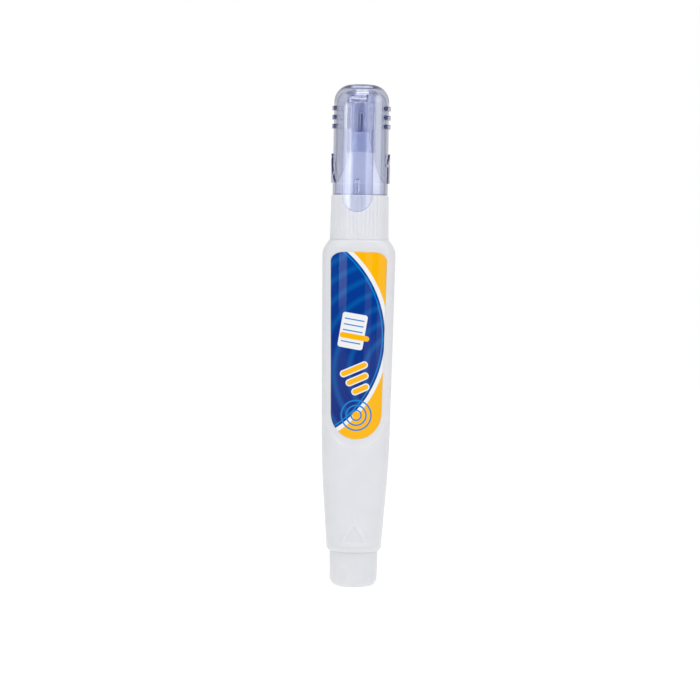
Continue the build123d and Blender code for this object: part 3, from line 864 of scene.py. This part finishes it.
labelPrint = {"deepBlue": (0.0, 0.018, 0.2), "midBlue": (0.0, 0.05, 0.31), "brightBlue": (0.0, 0.205, 0.61),
              "yellow": (0.95, 0.47, 0.0), "white": (0.84, 0.85, 0.87), "fadeHeights": (44, 92),
              "roughness": (0.045, 0.08), "ior": 1.5, "shine": 0.2, "edgeSoft": 0.05,
              "wrinkleScale": 130, "wrinkleDepth": 0.000006,
              "rippleCentre": (12, 57), "rippleHalf": 2.0, "rippleFrom": 0.9, "rippleShare": 0.32,
              "sweepCentre": (-22, 66), "sweepRadius": 30.2,
              "sweepLine": (-1.7, 0.16), "sweepRim": (-0.5, 0.55),
              "pageCentre": (-1.3, 67.6), "pageHalf": (3.3, 4.6), "pageCorner": 0.7, "pageTurn": -9,
              "ruledHalf": (2.6, 4.1), "ruledCorner": 0.1, "ruling": (1.5, 0.15),
              "markerCentre": (-0.8, 66.1), "markerHalf": (3.9, 0.7),
              "strokes": (((-0.8, 57.6), 3.6), ((0.1, 55.0), 2.9), ((1.0, 52.4), 2.2)),
              "strokeTurn": 24, "strokeHalf": 0.65, "strokeRim": 0.3,
              "ringCentre": (0, 45.6), "rings": (1.3, 0.2), "ringReach": 4.6, "ringHeart": 1.0}


def labelFilm(look):
    # printed film, drawn by distance: ripples on blue, a corner sweep, a ruled page, three strokes and rings
    material, tree, shader = newFinish("labelFilm")
    coords = objectCoords(tree)
    parts = tree.nodes.new("ShaderNodeSeparateXYZ")
    tree.links.new(coords, parts.inputs[0])
    z = math(tree, "MULTIPLY", parts.outputs["Z"], 1000.0)
    flat = tree.nodes.new("ShaderNodeCombineXYZ")
    tree.links.new(math(tree, "MULTIPLY", parts.outputs["X"], 1000.0), flat.inputs["X"])
    tree.links.new(z, flat.inputs["Y"])

    def vectorMath(operation, first, second=None):
        node = tree.nodes.new("ShaderNodeVectorMath")
        node.operation = operation
        tree.links.new(first, node.inputs[0])
        if second is not None:
            node.inputs[1].default_value = second
        return node

    def awayFrom(centre):
        return vectorMath("DISTANCE", flat.outputs[0], (*centre, 0)).outputs["Value"]

    def turned(centre, turn):
        node = tree.nodes.new("ShaderNodeMapping")
        node.vector_type = "TEXTURE"
        node.inputs["Location"].default_value = (*centre, 0)
        node.inputs["Rotation"].default_value = (0, 0, radians(turn))
        tree.links.new(flat.outputs[0], node.inputs["Vector"])
        return node.outputs[0]

    def barDistance(place, half, corner):
        # distance outside a rounded bar, negative inside
        reach = (half[0] - corner, half[1] - corner, 0)
        beyond = vectorMath("SUBTRACT", vectorMath("ABSOLUTE", place).outputs[0], reach)
        outside = vectorMath("MAXIMUM", beyond.outputs[0], (0, 0, 0))
        return math(tree, "SUBTRACT", vectorMath("LENGTH", outside.outputs[0]).outputs["Value"], corner)

    def inside(distance):
        return math(tree, "MULTIPLY_ADD", distance, -0.5 / look["edgeSoft"], 0.5, clamp=True)

    def band(distance, middle, half):
        away = math(tree, "ABSOLUTE", math(tree, "SUBTRACT", distance, middle))
        return inside(math(tree, "SUBTRACT", away, half))

    def repeated(distance, pitch, half):
        return inside(math(tree, "SUBTRACT", math(tree, "PINGPONG", distance, pitch / 2), half))

    def both(first, second):
        return math(tree, "MULTIPLY", first, second)

    def printed(below, share, ink):
        return mixColour(tree, share, below, look[ink])

    fade = rangeOf(tree, z, 0, 1, *look["fadeHeights"])
    colour = mixColour(tree, fade, look["deepBlue"], look["midBlue"])
    ripple = math(tree, "PINGPONG", awayFrom(look["rippleCentre"]), look["rippleHalf"])
    ripple = rangeOf(tree, ripple, 0.0, look["rippleShare"], look["rippleFrom"], look["rippleHalf"])
    colour = printed(colour, ripple, "brightBlue")

    sweep = math(tree, "SUBTRACT", awayFrom(look["sweepCentre"]), look["sweepRadius"])
    colour = printed(colour, band(sweep, *look["sweepLine"]), "brightBlue")
    colour = printed(colour, band(sweep, *look["sweepRim"]), "white")
    colour = printed(colour, inside(math(tree, "MULTIPLY", sweep, -1.0)), "yellow")

    page = turned(look["pageCentre"], look["pageTurn"])
    pageParts = tree.nodes.new("ShaderNodeSeparateXYZ")
    tree.links.new(page, pageParts.inputs[0])
    colour = printed(colour, inside(barDistance(page, look["pageHalf"], look["pageCorner"])), "white")
    ruled = inside(barDistance(page, look["ruledHalf"], look["ruledCorner"]))
    colour = printed(colour, both(repeated(pageParts.outputs["Y"], *look["ruling"]), ruled), "brightBlue")
    marker = turned(look["markerCentre"], look["pageTurn"])
    colour = printed(colour, inside(barDistance(marker, look["markerHalf"], look["markerHalf"][1])), "yellow")

    for centre, reach in look["strokes"]:
        stroke = turned(centre, look["strokeTurn"])
        for rim, ink in ((look["strokeRim"], "white"), (0.0, "yellow")):
            half = look["strokeHalf"] + rim
            colour = printed(colour, inside(barDistance(stroke, (reach + rim, half), half)), ink)

    ring = awayFrom(look["ringCentre"])
    rings = both(repeated(ring, *look["rings"]), inside(math(tree, "SUBTRACT", ring, look["ringReach"])))
    colour = printed(colour, rings, "brightBlue")
    colour = printed(colour, inside(math(tree, "SUBTRACT", ring, look["ringHeart"])), "yellow")

    tree.links.new(colour, shader.inputs["Base Color"])
    wrinkle = noiseAt(tree, coords, look["wrinkleScale"], 2.0)
    tree.links.new(rangeOf(tree, wrinkle, *look["roughness"]), shader.inputs["Roughness"])
    tree.links.new(bumpFrom(tree, wrinkle, look["wrinkleDepth"]), shader.inputs["Normal"])
    shader.inputs["IOR"].default_value = look["ior"]
    shader.inputs["Specular IOR Level"].default_value = look["shine"]
    return material


frontLabel = seat(makeLabel(), "barrel", labelFilm(labelPrint), "front_label")
print("label ready")


# inner pieces that stay as solids

for node, finish in (("spring_seat", headPlastic), ("mixing_ball", ballSteel)):
    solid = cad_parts[node]
    solid.data.materials.clear()
    solid.data.materials.append(finish)
print("inner pieces ready")


# floor, backdrop, lamps and camera

stageLook = {"floorLight": 0.93, "floorDiffuse": 0.2, "floorGiven": 1.0, "backdropThrough": 0.62,
             "backdropGiven": 0.6, "worldLevel": 0.41, "worldFront": 0.11, "worldSide": 0.38,
             "frontRange": (-0.6, 0.0), "worldTop": 0.65, "topRange": (0.3, 0.7)}
stageShape = {"ground": -0.02, "floorHalf": 900,
              "backdropHalf": 380, "backdropAway": 500, "backdropTop": 520}


def seenDirectly(tree):
    # 1 for camera rays and for what shows in gloss or through clear plastic
    path = tree.nodes.new("ShaderNodeLightPath")
    either = math(tree, "MAXIMUM", path.outputs["Is Camera Ray"], path.outputs["Is Glossy Ray"])
    return math(tree, "MAXIMUM", either, path.outputs["Is Transmission Ray"])


def stageMaterial(name, light, through, given, diffuse):
    material = bpy.data.materials.new(name)
    material.use_nodes = True
    tree = material.node_tree
    tree.nodes.clear()
    glow = tree.nodes.new("ShaderNodeEmission")
    straight = tree.nodes.new("ShaderNodeLightPath").outputs["Is Camera Ray"]
    tree.links.new(rangeOf(tree, straight, through, light, 0.0, 1.0), glow.inputs["Strength"])
    paper = tree.nodes.new("ShaderNodeBsdfDiffuse")
    paper.inputs["Color"].default_value = (diffuse, diffuse, diffuse, 1)
    plain = addNode(tree, "ShaderNodeEmission", Strength=given)  # lights the object, as a light table does
    both = tree.nodes.new("ShaderNodeAddShader")
    mix = tree.nodes.new("ShaderNodeMixShader")
    output = tree.nodes.new("ShaderNodeOutputMaterial")
    tree.links.new(glow.outputs[0], both.inputs[0])
    tree.links.new(paper.outputs[0], both.inputs[1])
    tree.links.new(seenDirectly(tree), mix.inputs[0])
    tree.links.new(plain.outputs[0], mix.inputs[1])
    tree.links.new(both.outputs[0], mix.inputs[2])
    tree.links.new(mix.outputs[0], output.inputs[0])
    return material


ground, half = stageShape["ground"], stageShape["floorHalf"]
floor = meshObject("floor", [(-half, -half, ground), (half, -half, ground), (half, half, ground),
                             (-half, half, ground)], [(0, 1, 2, 3)])
floor.data.materials.append(stageMaterial("paleFloor", stageLook["floorLight"], stageLook["floorLight"],
                                          stageLook["floorGiven"], stageLook["floorDiffuse"]))
half, away, top = (stageShape[key] for key in ("backdropHalf", "backdropAway", "backdropTop"))
backdrop = meshObject("backdrop", [(-half, away, ground), (half, away, ground), (half, away, top),
                                   (-half, away, top)], [(0, 1, 2, 3)])
backdrop.data.materials.append(stageMaterial("paleBackdrop", 1.0, stageLook["backdropThrough"],
                                             stageLook["backdropGiven"], 0.0))
backdrop.visible_camera = False  # it shows only in gloss and through clear plastic

world = bpy.data.worlds.new("studio")
world.use_nodes = True
tree = world.node_tree
tree.nodes["Background"].inputs["Color"].default_value = (1.0, 1.0, 1.0, 1)
towards = tree.nodes.new("ShaderNodeSeparateXYZ")
tree.links.new(tree.nodes.new("ShaderNodeTexCoord").outputs["Generated"], towards.inputs[0])
sideways = rangeOf(tree, towards.outputs["Y"], stageLook["worldFront"], stageLook["worldSide"],
                   *stageLook["frontRange"])
overhead = rangeOf(tree, towards.outputs["Z"], 0.0, stageLook["worldTop"], *stageLook["topRange"])
inGloss = math(tree, "MAXIMUM", sideways, overhead)
level = math(tree, "SUBTRACT", inGloss, stageLook["worldLevel"])
level = math(tree, "MULTIPLY_ADD", level, seenDirectly(tree), stageLook["worldLevel"])
straight = tree.nodes.new("ShaderNodeLightPath").outputs["Is Camera Ray"]
level = math(tree, "MAXIMUM", level, straight)  # white behind the object
tree.links.new(level, tree.nodes["Background"].inputs["Strength"])
bpy.context.scene.world = world


lampAim = Vector((0, 0, 0.07))


def addLamp(name, azimuth, elevation, distance, width, height, power):
    lamp = bpy.data.lights.new(name, "AREA")
    lamp.shape = "RECTANGLE"
    lamp.size, lamp.size_y, lamp.energy = width, height, power
    obj = bpy.data.objects.new(name, lamp)
    bpy.context.scene.collection.objects.link(obj)
    a, e = radians(azimuth), radians(elevation)
    obj.location = lampAim + distance * Vector((sin(a) * cos(e), -cos(a) * cos(e), sin(e)))
    obj.rotation_euler = (lampAim - obj.location).to_track_quat("-Z", "Y").to_euler()


# degrees round and up, then metres away, wide and tall, and watts
addLamp("softboxLeft", -43, 15, 0.8, 0.36, 0.5, 1.6)
addLamp("softboxRight", 74, 12, 0.85, 0.6, 0.7, 1.75)
addLamp("softboxFront", 27, 12, 0.8, 0.26, 0.5, 0.45)
addLamp("softboxTop", 8, 74, 0.8, 0.5, 0.4, 2.9)

cameraShape = {"target": Vector((-0.0019, 0.0, 0.0623)), "distance": 0.7, "elevation": 2.7, "roll": 1.04,
               "field": 0.1845, "sensor": 36, "nearest": 0.01}
cameraData = bpy.data.cameras.new("camera")
cameraData.sensor_width = cameraShape["sensor"]
cameraData.lens = cameraShape["sensor"] * cameraShape["distance"] / cameraShape["field"]
cameraData.clip_start = cameraShape["nearest"]
camera = bpy.data.objects.new("camera", cameraData)
bpy.context.scene.collection.objects.link(camera)
tilt = radians(cameraShape["elevation"])
camera.location = cameraShape["target"] + cameraShape["distance"] * Vector((0, -cos(tilt), sin(tilt)))
facing = (cameraShape["target"] - camera.location).to_track_quat("-Z", "Y").to_matrix()
camera.rotation_euler = (facing @ Matrix.Rotation(radians(cameraShape["roll"]), 3, "Z")).to_euler()
bpy.context.scene.camera = camera
bpy.context.scene.view_settings.view_transform = "Standard"
print("stage ready")
